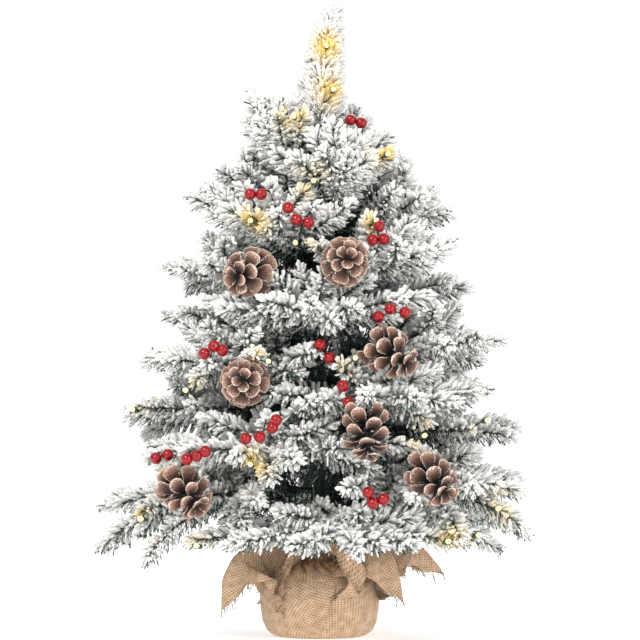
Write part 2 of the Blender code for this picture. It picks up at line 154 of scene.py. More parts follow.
class Nodes:
    """Short ways to add nodes to a shader tree and to join them."""

    def __init__(self, tree):
        self.tree = tree

    def fill(self, socket, value):
        """Links a socket, or sets it; a colour gets its alpha."""
        if isinstance(value, bpy.types.NodeSocket):
            self.tree.links.new(value, socket)
        else:
            socket.default_value = (*value, 1) if socket.type == "RGBA" else value

    def node(self, kind, inputs=None, **settings):
        made = self.tree.nodes.new(kind)
        for key, value in settings.items():
            setattr(made, key, value)
        for key, value in (inputs or {}).items():
            self.fill(made.inputs[key], value)
        return made

    def place(self):
        return self.node("ShaderNodeTexCoord").outputs["Object"]

    def noise(self, scale, detail=3.0, rough=0.55, vector=None):
        values = {"Vector": vector or self.place(), "Scale": scale, "Detail": detail, "Roughness": rough}
        return self.node("ShaderNodeTexNoise", values).outputs["Fac"]

    def ramp(self, factor, stops):
        """Colours along a factor, as (place, colour) stops."""
        made = self.node("ShaderNodeValToRGB", {"Fac": factor})
        made.color_ramp.elements.remove(made.color_ramp.elements[1])
        made.color_ramp.elements[0].position = stops[0][0]
        made.color_ramp.elements[0].color = (*stops[0][1], 1)
        for place, colour in stops[1:]:
            made.color_ramp.elements.new(place).color = (*colour, 1)
        return made.outputs["Color"]

    def mix(self, factor, a, b, blend="MIX"):
        made = self.node("ShaderNodeMix", {0: factor}, data_type="RGBA", blend_type=blend)
        self.fill(made.inputs[6], a)
        self.fill(made.inputs[7], b)
        return made.outputs[2]

    def sum(self, operation, a, b=0.0, c=0.0):
        return self.node("ShaderNodeMath", {0: a, 1: b, 2: c}, operation=operation).outputs[0]

    def step(self, value, low, high):
        """A smooth step from 0 at low to 1 at high."""
        return self.node(
            "ShaderNodeMapRange", {0: value, 1: low, 2: high}, interpolation_type="SMOOTHSTEP"
        ).outputs[0]

    def value(self, name):
        return self.node("ShaderNodeAttribute", attribute_name=name).outputs["Fac"]

    def group(self, tree, **inputs):
        """The outputs of a shared group, placed here with its own values."""
        made = self.node("ShaderNodeGroup", node_tree=tree)
        for name, value in {"Vector": self.place(), **inputs}.items():
            self.fill(made.inputs[name], value)
        return made.outputs


class Shading(Nodes):
    """A Principled material, with its plain sockets set by name."""

    def __init__(self, name, **sockets):
        self.material = bpy.data.materials.new(name)
        self.material.use_nodes = True
        super().__init__(self.material.node_tree)
        self.shader = self.tree.nodes["Principled BSDF"]
        for socket, value in sockets.items():
            self.fill(self.shader.inputs[socket.replace("_", " ")], value)

    def to(self, socket, value):
        self.tree.links.new(value, self.shader.inputs[socket])

    def bump(self, height, strength, distance):
        made = self.node("ShaderNodeBump", {"Height": height, "Strength": strength, "Distance": distance})
        self.to("Normal", made.outputs["Normal"])

    def mottled(self, strength, distance, **inputs):
        """Colours the material with the mottle group and bumps it by the same noise."""
        tone = self.group(MOTTLE, **inputs)
        self.to("Base Color", tone["Colour"])
        self.bump(tone["Height"], strength, distance)
        return tone


def shared_group(name, inputs, outputs):
    """A new shader node group with named sockets: its nodes, its inputs and its outputs."""
    tree = bpy.data.node_groups.new(name, "ShaderNodeTree")
    for way, sockets in (("INPUT", inputs), ("OUTPUT", outputs)):
        for socket, kind in sockets.items():
            tree.interface.new_socket(name=socket, in_out=way, socket_type=f"NodeSocket{kind}")
    nodes = Nodes(tree)
    return nodes, nodes.node("NodeGroupInput").outputs, nodes.node("NodeGroupOutput").inputs


# mottle: a noise from a dark colour to a light one, and its height
inside, given, result = shared_group(
    "mottle",
    {"Vector": "Vector", "Scale": "Float", "Detail": "Float", "Dark": "Color", "Light": "Color"},
    {"Colour": "Color", "Height": "Float"},
)
speckle = inside.noise(given["Scale"], given["Detail"], 0.6, given["Vector"])
inside.tree.links.new(
    inside.mix(inside.step(speckle, 0.34, 0.66), given["Dark"], given["Light"]), result["Colour"]
)
inside.tree.links.new(speckle, result["Height"])
MOTTLE = inside.tree

table = Shading("white_table", Roughness=0.75, Emission_Color=(1, 1, 1), Emission_Strength=0.42)
tone = table.group(MOTTLE, Scale=3.0, Detail=2.0, Dark=(0.90, 0.90, 0.90), Light=(0.93, 0.93, 0.93))
table.to("Base Color", tone["Colour"])
TABLE_HALF = 6.0
table_corners = np.array([(-1, -1, 0), (1, -1, 0), (1, 1, 0), (-1, 1, 0)]) * TABLE_HALF
table_mesh = mesh_of("table_top", table_corners, [np.array([[0, 1, 2, 3]])])
put("table_top", table_mesh, table.material, None)


# ------------------------------------------------------------------ burlap wrap
# One square of jute cloth, 40 cm across: it lies flat under the weight, is laid up its side in
# lapped pleats and gathered at the neck by a twine tie, and its four corners hang out as ears.

CLOTH_SIDE = 0.40
NECK_RUN = 0.150
PLEATS = 6
NECK_TOP = 0.078
CLOTH_FLOOR = 0.0013
NECK_SHARE = 0.62  # of the rows of the cloth's grid that lie between its middle and the neck
# each ear: its corner's turn in the flat square, its azimuth on the tree, and the line its ridge
# follows as (out from the trunk, height)
EARS = (
    (45, -32, ((12, 78), (18, 92), (38, 102), (62, 98), (80, 78), (88, 50), (90, 40))),
    (135, 12, ((12, 78), (17, 89), (36, 98), (66, 98), (96, 86), (116, 62), (122, 50))),
    (225, 104, ((12, 78), (17, 88), (34, 95), (58, 88), (80, 62), (88, 34), (90, 24))),
    (315, 194, ((12, 78), (20, 86), (40, 91), (64, 90), (84, 78), (94, 54), (94, 20))),
)
# the cloth's line from the middle of the foot to the neck: (distance along it, radius, height)
BODY_LINE = np.array([
    (0, 0, 0.6), (30, 30, 0.6), (40, 40, 0.8), (46, 46, 3.2), (51, 50, 7), (60, 53.4, 14.5),
    (72, 55.6, 26), (86, 56.0, 39), (98, 54.2, 50), (108, 50.0, 58.5), (118, 42, 64.5), (130, 30, 68.0),
    (140, 20, 70.4), (146, 14.5, 73.5), (150, 12.6, 78),
]) / 1000


UP = np.array([0, 0, 1.0])


def unit(v):
    return v / np.maximum(np.linalg.norm(v, axis=-1, keepdims=True), 1e-9)


def run_along(path):
    """The distance along a line at each of its points."""
    return np.concatenate([[0], np.cumsum(np.linalg.norm(np.diff(path, axis=0), axis=1))])


def at(x, xs, points):
    """The points that lie at x along a line, whose own points are at xs."""
    return np.stack([np.interp(x, xs, points[:, k]) for k in range(points.shape[1])], -1)


def eased(path, times):
    """A line with each point but its ends drawn towards its neighbours, a number of times."""
    for _ in range(times):
        path[1:-1] = (path[:-2] + 2 * path[1:-1] + path[2:]) / 4
    return path


def bands(rings, sides):
    """The four-sided faces between rings of points that follow each other."""
    n, row = np.arange(sides), np.arange(rings - 1)[:, None] * sides
    a, b = row + n, row + (n + 1) % sides
    return np.stack([a, b, b + sides, a + sides], -1).reshape(-1, 4)


TURNED_OVER = [0, 3, 2, 1]  # the order of a four-sided face's corners seen from its other side


def tube(path, radius, sides=6, twist=0.0):
    """A closed tube: rings of a radius, square to a path, with a flat cap at each end."""
    along = unit(np.gradient(path, axis=0))
    level = np.where(np.abs(along[:, 2:]) < 0.9, [[0, 0, 1.0]], [[1.0, 0, 0]])
    first = unit(np.cross(along, level))
    second = np.cross(along, first)
    turn = np.linspace(0, 2 * math.pi, sides, endpoint=False)[None, :]
    turn = turn + twist * np.arange(len(path))[:, None]
    wide = np.broadcast_to(radius, (len(path),))[:, None, None]
    round_about = np.cos(turn)[..., None] * first[:, None] + np.sin(turn)[..., None] * second[:, None]
    rings = path[:, None] + wide * round_about
    n = np.arange(sides)
    caps = [n[::-1][None], (n + (len(path) - 1) * sides)[None]]
    return rings.reshape(-1, 3), [bands(len(path), sides), *caps]


def joined(parts):
    """Many (points, faces) as one."""
    points, faces, start = [], {}, 0
    for place, sets in parts:
        for quads in sets:
            faces.setdefault(quads.shape[1], []).append(quads + start)
        points.append(place)
        start += len(place)
    return np.concatenate(points), [np.concatenate(f) for f in faces.values()]


def smooth(x, low, high):
    """A smooth step from 0 at low to 1 at high."""
    t = np.clip((x - low) / (high - low), 0, 1)
    return t * t * (3 - 2 * t)


def along_line(line, distance):
    """The point at each distance along a line, and past its end straight on."""
    line = np.asarray(line, float) / 1000
    steps = run_along(line)
    fine = np.linspace(0, steps[-1], 200)
    dense = eased(at(fine, steps, line), 60)
    end = unit(dense[-1] - dense[-12])
    return at(distance, fine, dense) + np.maximum(distance - steps[-1], 0)[..., None] * end


def full_circle(turns):
    """Turns in degrees as radians, with the last and the first again a full turn away."""
    turns = np.radians(turns)
    return np.concatenate([[turns[-1] - 2 * math.pi], turns, [turns[0] + 2 * math.pi]])


def square_edge(turn):
    """How far the flat square reaches from its middle in a direction."""
    return CLOTH_SIDE / 2 / np.maximum(np.abs(np.cos(turn)), np.abs(np.sin(turn)))


def cloth_place(turn, run):
    """Where a point of the flat square goes, given its direction and distance from the middle."""
    flat_wrap, ear_wrap = (full_circle([ear[k] for ear in EARS]) for k in (0, 1))
    # lapped pleats: the turn runs ahead and comes back once in each sixth of the circle
    spread = np.interp(run, BODY_LINE[:, 0], BODY_LINE[:, 1])
    excess = np.clip(run / np.maximum(spread, 0.004), 1.0, 1.9) * smooth(run, 0.03, 0.05)
    excess = np.clip(excess, 1.0, 1.9)
    cell = turn * PLEATS / (2 * math.pi) + 0.30 * np.sin(turn * 2 + 0.7)
    phase, number = cell % 1.0, np.floor(cell)
    ahead = (1 + 1 / excess) / 2
    lapped = np.where(phase < ahead, excess * phase, excess * (2 * ahead - phase))
    lift = np.where(phase < ahead, phase / ahead, (1 - phase) / np.maximum(1 - ahead, 1e-3))
    moved = (number + lapped - cell) * 2 * math.pi / PLEATS
    fade = 1 - smooth(run, 0.100, 0.138)
    gathered = np.interp(turn, flat_wrap, ear_wrap)
    settle = smooth(run, 0.02, 0.15)
    azimuth = (turn - math.radians(77)) * (1 - settle) + gathered * settle + moved * fade
    height = np.interp(run, BODY_LINE[:, 0], BODY_LINE[:, 2])
    out = spread + 0.0036 * lift**2 * smooth(run, 0.045, 0.09) * (1 - smooth(run, 0.096, 0.124))
    creases = np.sin(turn * 34 + 1.6 * np.sin(turn * 5))
    ripple_size = 0.0013 * smooth(run, 0.104, 0.125)
    height = height + 0.0022 * creases * smooth(run, 0.104, 0.122) * (1 - smooth(run, 0.128, 0.146))
    out = out + ripple_size * creases * smooth(run, 0.12, 0.145)
    slack = 0.0009 * np.sin(turn * 9 + run * 70) + 0.0007 * np.sin(turn * 4 - run * 110)
    out = out + slack * smooth(run, 0.05, 0.08)
    body = np.stack([out * np.cos(azimuth), out * np.sin(azimuth), height], -1)
    # past the neck: a standing ruffle between the corners, and the ears that fall from it
    past = np.maximum(run - NECK_RUN, 0)
    lean = 0.30 + 0.22 * np.sin(turn * 3 + 1.0)
    fan_out = 0.0126 + past * np.sin(lean + past * 9) + 0.0034 * creases * smooth(past, 0.0, 0.02)
    fan_up = NECK_TOP + past * np.cos(lean + past * 9)
    fan = np.stack([fan_out * np.cos(azimuth), fan_out * np.sin(azimuth), fan_up], -1)
    place = np.where((past > 0)[..., None], fan, body)
    for flat_turn, ear_turn, line in EARS:
        off = (turn - math.radians(flat_turn) + math.pi) % (2 * math.pi) - math.pi
        share = smooth(math.radians(44) - np.abs(off), 0.0, 0.45) * smooth(past, 0.0, 0.028)
        beside = run * np.sin(off)
        reached = np.maximum(run * np.cos(off) - NECK_RUN * 0.985, 0)
        ridge = along_line(line, reached)
        step = along_line(line, reached + 0.002) - ridge
        across = unit(np.stack([-step[..., 1], step[..., 0]], -1))
        away = np.array([math.cos(math.radians(ear_turn)), math.sin(math.radians(ear_turn)), 0.0])
        side = np.array([-away[1], away[0], 0.0])
        fold = math.radians(64) + 0.22 * np.sin(past * 60 + ear_turn)
        wave = 0.0028 * np.sin(beside * 210 + past * 40) * smooth(past, 0.01, 0.05)
        drop = np.sqrt(beside**2 + 0.005**2) - 0.005
        inward = (drop * np.sin(fold) + wave)[..., None]
        middle = ridge - across * inward
        ear = middle[..., :1] * away + (beside * np.cos(fold))[..., None] * side
        ear = ear + middle[..., 1:] * UP
        place = place * (1 - share[..., None]) + ear * share[..., None]
    place[..., 2] = np.maximum(place[..., 2], CLOTH_FLOOR)
    return place


TURNS, RUNS = 420, 78
turns = np.linspace(0, 2 * math.pi, TURNS, endpoint=False)[None, :]
share = np.linspace(0, 1, RUNS)[1:, None]
past_neck = (share - NECK_SHARE) / (1 - NECK_SHARE) * (square_edge(turns) - NECK_RUN)
runs = np.where(share < NECK_SHARE, share / NECK_SHARE * NECK_RUN, NECK_RUN + past_neck)
turns = np.broadcast_to(turns, runs.shape)
cloth = cloth_place(turns, runs)
points = np.concatenate([cloth.reshape(-1, 3), [[0, 0, CLOTH_FLOOR]]])
quads = bands(RUNS - 1, TURNS)[:, TURNED_OVER]
middle = len(points) - 1
fan = np.stack([np.full(TURNS, middle), np.arange(TURNS), (np.arange(TURNS) + 1) % TURNS], -1)
cloth_mesh = mesh_of("cloth", points, [quads, fan])
flat = np.stack([runs * np.cos(turns), runs * np.sin(turns)], -1).reshape(-1, 2)
flat = np.concatenate([flat, [[0, 0]]]) / CLOTH_SIDE + 0.5
corners = np.concatenate([quads.ravel(), fan.ravel()])
cloth_mesh.uv_layers.new(name="weave").data.foreach_set("uv", flat[corners].astype(np.float32).ravel())

burlap_finish = Shading("burlap_weave", Roughness=0.95, Sheen_Weight=0.15, Sheen_Roughness=0.5)
THREADS = 170.0
uv = burlap_finish.node("ShaderNodeUVMap", uv_map="weave").outputs[0]
loose = burlap_finish.noise(9.0, 2.0, 0.5, uv)
split = burlap_finish.node("ShaderNodeSeparateXYZ", {0: uv})


def strand(shading, along, other, flip):
    """How high a set of threads stands: an arch across each, times a wave over and under the rest."""
    at = shading.sum("MULTIPLY", along, THREADS)
    arch = shading.sum("ABSOLUTE", shading.sum("SINE", shading.sum("MULTIPLY", at, math.pi)))
    over = shading.sum("MULTIPLY", other, THREADS * math.pi)
    odd = shading.sum("MULTIPLY", shading.sum("FLOOR", at), math.pi)
    wave = shading.sum("COSINE", shading.sum("ADD", shading.sum("ADD", over, odd), flip))
    raised = shading.sum("MULTIPLY", shading.sum("ADD", wave, 2.6), 1 / 3.6)
    return shading.sum("MULTIPLY", shading.sum("POWER", arch, 0.55), raised)


warp = strand(burlap_finish, split.outputs[0], split.outputs[1], math.pi / 2)
weft = strand(burlap_finish, split.outputs[1], split.outputs[0], -math.pi / 2)
weave = burlap_finish.sum("MAXIMUM", warp, weft)
fibre = burlap_finish.noise(1400.0, 3.0, 0.6)
slub = burlap_finish.noise(60.0, 3.0, 0.6, uv)
jute = burlap_finish.ramp(
    slub, [(0.3, (0.46, 0.30, 0.185)), (0.5, (0.62, 0.43, 0.28)), (0.72, (0.76, 0.56, 0.39))]
)
hairs = burlap_finish.ramp(fibre, [(0.3, (0.72, 0.70, 0.68)), (0.7, (1.15, 1.14, 1.12))])
jute = burlap_finish.mix(0.5, jute, hairs, "MULTIPLY")
# painted shade and painted highlight: the weave's height darkens the low parts between threads and lightens
# the thread crowns
painted_weave_shade = burlap_finish.ramp(
    weave, [(0.34, (0.30, 0.24, 0.20)), (0.62, (0.94, 0.92, 0.90)), (0.95, (1.24, 1.22, 1.2))]
)
burlap_finish.to("Base Color", burlap_finish.mix(0.9, jute, painted_weave_shade, "MULTIPLY"))
burlap_finish.bump(burlap_finish.sum("ADD", weave, burlap_finish.sum("MULTIPLY", fibre, 0.35)), 0.85, 0.0009)

burlap = put("burlap_cloth", cloth_mesh, burlap_finish.material, "stand")
wall = burlap.modifiers.new("cloth", "SOLIDIFY")
wall.thickness, wall.offset = 0.0011, -1.0
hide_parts("burlap_wrap")

random = np.random.default_rng(41)
strays = np.arange(TURNS * 2)
stray_turn = (strays + random.random(len(strays))) / len(strays) * 2 * math.pi
stray_edge = square_edge(stray_turn)
inner, outer = cloth_place(stray_turn, stray_edge - 0.004), cloth_place(stray_turn, stray_edge)
away = unit(outer - inner) + random.normal(0, 0.30, (len(strays), 3))
length = random.uniform(0.002, 0.0075, len(strays))[:, None]
fringe = []
for start, way, long in zip(outer, away, length):
    share = np.linspace(-0.15, 1, 4)[:, None]
    fringe.append(tube(start + way * long * share + np.array([0, 0, -0.0012]) * share**2, 0.00028, 4))
fringe_mesh = mesh_of("fringe", *joined(fringe))
fringe_mesh.uv_layers.new(name="weave")
fray = put("burlap_frayed_edge", fringe_mesh, burlap_finish.material, "stand")


# ------------------------------------------------------------------ neck twine
# Jute twine of two plies, wound three times round the gathered neck and tied in front. It stands
# for the plain ring of the neck tie.

TWINE_RADIUS = 0.0008
PLY_OFFSET = 0.0006
PLY_TURNS = 95
COILS = 3
TIE_LOW, TIE_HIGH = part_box("neck_tie")
TIE_MIDDLE = (TIE_LOW.z + TIE_HIGH.z) / 2
TIE_TURN = math.radians(-58)


def twine(path):
    """Two plies: tubes whose middles circle the path as it runs, half a turn apart."""
    along = unit(np.gradient(path, axis=0))
    first = unit(np.cross(along, [0.1, 0.2, 0.97]))
    second = np.cross(along, first)
    length = run_along(path)[:, None]
    plies = []
    for phase in (0, math.pi):
        turn = phase + length * PLY_TURNS * 2 * math.pi * 2.2
        ply = path + PLY_OFFSET * (np.cos(turn) * first + np.sin(turn) * second)
        plies.append(tube(ply, TWINE_RADIUS, 7))
    return plies


wound = np.linspace(0, 1, COILS * 90)[:, None]
turn = TIE_TURN + wound * COILS * 2 * math.pi
ring = 0.0158 + 0.0004 * np.sin(turn * 7)
coil = np.concatenate([ring * np.cos(turn), ring * np.sin(turn), TIE_MIDDLE - 0.0030 + 0.0060 * wound], 1)
knot_out = np.array([math.cos(TIE_TURN), math.sin(TIE_TURN), 0.0])
knot_side = np.array([-knot_out[1], knot_out[0], 0.0])
share = np.linspace(0, 1, 60)[:, None]
winding = share * 2 * math.pi * 1.5
knot_up = UP * (TIE_MIDDLE + 0.0034 * np.cos(winding * 1.4))
knot = knot_out * 0.0180 + knot_side * 0.0026 * np.sin(winding) + knot_up
knot = knot + knot_out * 0.0016 * np.sin(winding * 2)
plies = twine(coil) + twine(knot)
for way in (-1, 1):
    drop = knot_out * (0.0186 + 0.010 * share) + knot_side * way * (0.002 + 0.012 * share**0.8)
    plies += twine(drop + UP * (TIE_MIDDLE - 0.020 * share**1.6))

twine_finish = Shading("jute_twine", Roughness=0.92, Sheen_Weight=0.2)
twine_finish.mottled(
    0.8, 0.0006, Scale=520.0, Detail=5.0, Dark=(0.26, 0.16, 0.085), Light=(0.62, 0.45, 0.28)
)
tie = put("neck_twine", mesh_of("twine", *joined(plies)), twine_finish.material, "stand")
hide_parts("neck_tie")


# ------------------------------------------------------------------ weight and trunk
# Inside the cloth is a cast cement weight. A steel rod is set in it, and green tape is wound round
# the rod to bind the branch wires on. They keep their CAD shapes.


def dress(node, finish):
    """Gives a carried-over node its material."""
    for slot in bpy.data.objects[node].material_slots:
        slot.material = finish.material


cement = Shading("cast_cement", Roughness=0.9)
tone = cement.group(MOTTLE, Scale=48.0, Detail=8.0, Dark=(0.27, 0.265, 0.25), Light=(0.47, 0.46, 0.44))
# pores: dark spots in the colour, painted shade in the pits, which the bump also dents
pore_dents_and_painted_shade = cement.step(cement.noise(330.0, 2.0, 0.5), 0.36, 0.30)
cement.to("Base Color", cement.mix(pore_dents_and_painted_shade, tone["Colour"], (0.12, 0.115, 0.11)))
cement.bump(cement.sum("SUBTRACT", tone["Height"], pore_dents_and_painted_shade), 0.7, 0.0012)
dress("base_weight", cement)

steel = Shading("drawn_steel", Metallic=1.0)
drawn = steel.node("ShaderNodeMapping", {"Vector": steel.place(), "Scale": (1.0, 1.0, 0.04)}).outputs[0]
tone = steel.mottled(
    0.3, 0.0003, Vector=drawn, Scale=900.0, Detail=4.0, Dark=(0.30, 0.30, 0.31), Light=(0.58, 0.58, 0.59)
)
steel.to("Roughness", steel.sum("MULTIPLY_ADD", tone["Height"], 0.35, 0.22))
dress("trunk_rod", steel)

TAPE_PITCH = 0.009
tape = Shading("green_tape", Roughness=0.48)
split = tape.node("ShaderNodeSeparateXYZ", {0: tape.place()}).outputs
around = tape.sum("DIVIDE", tape.sum("ARCTAN2", split[1], split[0]), 2 * math.pi)
lap = tape.sum("FRACT", tape.sum("ADD", tape.sum("DIVIDE", split[2], TAPE_PITCH), around))
edge = tape.step(lap, 0.10, 0.0)
tone = tape.group(MOTTLE, Scale=260.0, Detail=4.0, Dark=(0.010, 0.035, 0.018), Light=(0.030, 0.085, 0.042))
tape.to("Base Color", tape.mix(tape.sum("MULTIPLY", edge, 0.7), tone["Colour"], (0.004, 0.012, 0.007)))
tape.bump(tape.sum("ADD", lap, tape.sum("MULTIPLY", tone["Height"], 0.3)), 0.8, 0.0007)
dress("trunk_tape", tape)

green_wire = Shading("light_wire", Roughness=0.4)
green_wire.mottled(
    0.25, 0.0002, Scale=700.0, Detail=3.0, Dark=(0.008, 0.032, 0.014), Light=(0.022, 0.068, 0.030)
)
dress("light_string", green_wire)


# ------------------------------------------------------------------ branch wires
# Each branch is a steel wire, bound to the trunk at one end and twisted round strips of cut film
# for the rest. Thinner twisted tips are wound on to it and fan out to the sides, up and down.

LOWEST_ROOT, HIGHEST_ROOT = 0.112, 0.428
CROWN_REACH = 0.210
CROWN_FOOT = 0.092
HINGE_OUT = 0.008
# tips of a branch: share of the stem where each leaves, its angle, its share of the reach, its rise
TIPS = (
    (0.34, 17, 0.93, -0.004),
    (0.44, -17, 0.95, 0.003),
    (0.27, 5, 0.74, 0.034),
    (0.20, 36, 0.92, 0.006),
    (0.24, -36, 0.94, -0.004),
    (0.12, 58, 0.80, 0.010),
    (0.14, -56, 0.82, 0.004),
    (0.30, -24, 0.72, 0.034),
    (0.36, 28, 0.70, 0.028),
    (0.40, 8, 0.86, -0.022),
    (0.22, -46, 0.66, -0.018),
    (0.20, 48, 0.64, -0.014),
    (0.16, -10, 0.50, 0.036),
    (0.08, 30, 0.42, 0.030),
    (0.08, -34, 0.44, -0.026),
    (0.05, 74, 0.36, -0.010),
    (0.05, -80, 0.36, 0.018),
    (0.04, 14, 0.30, 0.036),
    (0.04, -16, 0.32, -0.034),
)
# tips that only some branches have: hanging ones on the lowest side branches, upright ones on top
DROOP = ((0.30, 26, 1.00, -0.046), (0.34, -24, 1.00, -0.044), (0.46, 2, 1.02, -0.036))
UPRIGHT = ((0.45, -8, 0.70, 0.052), (0.40, 30, 0.62, 0.044))
EXTRA_TIPS = {f"branch_{n:02d}": DROOP for n in (2, 3, 5)}
EXTRA_TIPS |= {f"branch_{n:02d}": UPRIGHT for n in (22, 23)}
# the lowest of them hangs less, so that it stays above the table when its branch is bent right down
EXTRA_TIPS["branch_02"] = tuple((*tip[:3], tip[3] + 0.012) for tip in DROOP)
EXTRA_TIPS["branch_04"] = ((0.30, 26, 0.95, -0.046), *DROOP[1:])
EXTRA_TIPS["branch_19"] = ((0.30, -50, 1.08, 0.022), (0.36, -30, 1.02, 0.034))
EXTRA_TIPS["branch_20"] = ((0.40, -12, 1.10, -0.030), *UPRIGHT)
EXTRA_TIPS["branch_21"] = ((0.30, 30, 1.12, -0.028), *UPRIGHT)
EXTRA_TIPS["branch_24"] = ((0.30, 10, 1.06, 0.046), (0.34, 12, 1.00, 0.036))
# the lowest front branch hangs over the neck and lets none of its tips fall below its stem
FRONT_BRANCH = "branch_01"
WIRE_STEPS = 20
STEM_WIRE, TIP_WIRE, WIRE_END = 0.0019, 0.0012, 0.0007  # radius at the root of each, and at the end


def reach_at(height):
    """The crown's radius: full at its foot, falling with height to the power 1.7."""
    share = np.clip((height - CROWN_FOOT) / (TREE_HEIGHT - CROWN_FOOT), 0, 1)
    return CROWN_REACH * (1 - share**1.7)


def branch_paths(body, joint):
    """The wires of a branch: an arched stem, and quadratic curves that leave it and swing aside."""
    hinge = np.array(joint["pos_m"])
    out = np.array([-joint["axis"][1], joint["axis"][0], 0.0])
    side = np.array([-out[1], out[0], 0.0])
    level = (hinge[2] - LOWEST_ROOT) / (HIGHEST_ROOT - LOWEST_ROOT)
    rise, arch = -0.020 + 0.082 * level, 0.009 - 0.017 * level
    reach = reach_at(hinge[2] + rise) - HINGE_OUT
    share = np.linspace(0, 1, WIRE_STEPS)[:, None]

    def stem(s):
        return np.array([reach, 0, rise]) * s + np.array([0, 0, 4 * arch]) * s * (1 - s)

    local = [stem(share)]
    for leaves, angle, length, above in TIPS + EXTRA_TIPS.get(body, ()):
        turn = math.radians(angle)
        above = max(above, 0.006) if body == FRONT_BRANCH else above
        start, along = stem(leaves), stem(min(leaves + 0.3, 1.0))
        far = reach * length
        risen = rise + above * (0.25 + 0.75 * reach / 0.2)
        end = np.array([far * math.cos(turn), far * math.sin(turn), risen])
        bend = along + (end - along) * 0.35
        first, second = start + (bend - start) * share, bend + (end - bend) * share
        local.append(first * (1 - share) + second * share)
    return [hinge + p[:, :1] * out + p[:, 1:2] * side + p[:, 2:] * UP for p in local]


wire_finish = Shading("branch_wire", Roughness=0.6)
wire_finish.mottled(
    0.5, 0.0004, Scale=420.0, Detail=3.0, Dark=(0.014, 0.028, 0.018), Light=(0.05, 0.075, 0.045)
)

JOINTS = {joint["child"]: joint for joint in frame["joints"]}
PATHS = {body: branch_paths(body, JOINTS[body]) for body in sorted(BODIES) if body.startswith("branch_")}
LEADER_ROOT = np.array(JOINTS["leader"]["pos_m"])
LEADER_LENGTH = TREE_HEIGHT - LEADER_ROOT[2] - 0.009
lean = np.linspace(0, 1, 40)[:, None]
LEADER_LEAN = np.array([0.012, 0, 0])
PATHS["leader"] = [LEADER_ROOT + np.array([0, 0, LEADER_LENGTH]) * lean + LEADER_LEAN * lean**3]

for body, paths in PATHS.items():
    roots = [STEM_WIRE] + [TIP_WIRE] * (len(paths) - 1)
    wires = [tube(p, np.linspace(root, WIRE_END, len(p)), 5, 0.5) for root, p in zip(roots, paths)]
    mesh = mesh_of("wires", *joined(wires))
    put(f"{body}_wires", mesh, wire_finish.material, body)


# ------------------------------------------------------------------ lamps
# Warm white lamps on thin green leads, which leave the string up the trunk and run out under the
# branch wires. Each has a moulded holder and a clear rounded lens; the needles round it carry a
# painted glow of its light, in their colour and in their own emission.

FRONT_LAMPS = (
    (5.7, 559), (14, 517), (-23.6, 490), (61, 455), (-5.7, 429), (-62, 392), (-26, 371), (50, 392),
    (-36, 257), (31, 265), (-120, 234), (-61, 168), (92, 194), (-170, 215), (156, 210), (-108, 88),
    (113, 97), (-160, 116), (141, 102), (156, 125),
)
BACK_LAMPS = (
    (-20, 440), (45, 395), (-70, 330), (60, 300), (0, 250), (-110, 235), (110, 215), (-55, 165),
    (40, 150), (140, 125), (-130, 115),
)
LAMP_DEPTH = 0.80  # share of the crown's depth, and a third of it above this height in millimetres
LEADER_LAMPS = 510
LAMP_FROM_WIRE = 0.016  # the furthest that a lamp is drawn from its wire, before it stands out
LAMP_STANDS_OUT = 0.008
HOLDER_LENGTH = 0.0085
LENS_LENGTH = 0.0062
LENS_SHAPE = np.array([1.9, 2.1, 2.2, 2.2, 2.1, 1.9, 1.5, 0.9, 0.1]) / 1000
HOLDER_SHAPE = np.array([0.8, 1.3, 1.7, 2.1, 2.4, 2.4, 2.6, 2.6, 2.3]) / 1000
# the string winds up the trunk between two rows of roots, as its node does
STRING_OUT = 0.0076
GOLDEN_TURN = math.radians(137.508)
ROOT_PITCH = (HIGHEST_ROOT - LOWEST_ROOT) / 23
STRING_SLOPE = (5 * GOLDEN_TURN - 4 * math.pi) / (5 * ROOT_PITCH)
STRING_START = math.radians(202) - 23 * GOLDEN_TURN + math.pi / 5


def crown_place(across, height, depth):
    """A place at a share of the crown's depth in front of the trunk, or below 0 behind it."""
    out = math.sqrt(max(float(reach_at(height)) ** 2 - across**2, 0.0004))
    return np.array([across, -out * depth, height])


def nearest(place):
    """The body, path and step of the wire that passes nearest to a place."""
    best = None
    for body, paths in PATHS.items():
        for number, path in enumerate(paths):
            away = np.linalg.norm(path[3:] - place, axis=1)
            step = int(away.argmin())
            if best is None or away[step] < best[0]:
                best = away[step], body, number, step + 3
    return best[1:]


def lead_route(body, number, step, end):
    """A lead's line: from the string, in to the root of the branch, under its wires, to the holder."""
    wires = PATHS[body]
    hinge = np.array(JOINTS[body]["pos_m"])
    turn = STRING_START + STRING_SLOPE * (hinge[2] - 0.008 - LOWEST_ROOT)
    start = np.array([STRING_OUT * math.cos(turn), STRING_OUT * math.sin(turn), hinge[2] - 0.008])
    if body == "leader":
        hinge = hinge + np.array([0, 0, -0.010])
        start = np.array([0.0, -STRING_OUT, hinge[2] - 0.006])
    turns = [math.atan2(p[1], p[0]) for p in (start, hinge)]
    swing = (turns[1] - turns[0] + math.pi) % (2 * math.pi) - math.pi if body != "leader" else 0.0
    share = np.linspace(0, 1, 8)[:, None]
    bound = turns[0] + swing * share
    ring = np.concatenate([np.cos(bound), np.sin(bound), 0 * bound], 1)
    ring = ring * (STRING_OUT + 0.0014 * np.sin(share * math.pi))
    ring[:, 2] = (start[2] + (hinge[2] - 0.003 - start[2]) * share)[:, 0]
    leaves = int(np.linalg.norm(wires[0] - wires[number][0], axis=1).argmin())
    stem_end = leaves if number else step
    under = np.array([0, 0, -0.0026])
    run = [ring, wires[0][2:stem_end] + under]
    if number:
        run.append(wires[number][2 : step + 1] + under)
    run.append(end[None])
    points = np.concatenate(run)
    lengths = np.concatenate([[0], np.cumsum(np.linalg.norm(np.diff(points, axis=0), axis=1) + 1e-6)])
    fine = np.linspace(0, lengths[-1], max(int(lengths[-1] / 0.0035), 8))
    return eased(at(fine, lengths, points), 4)


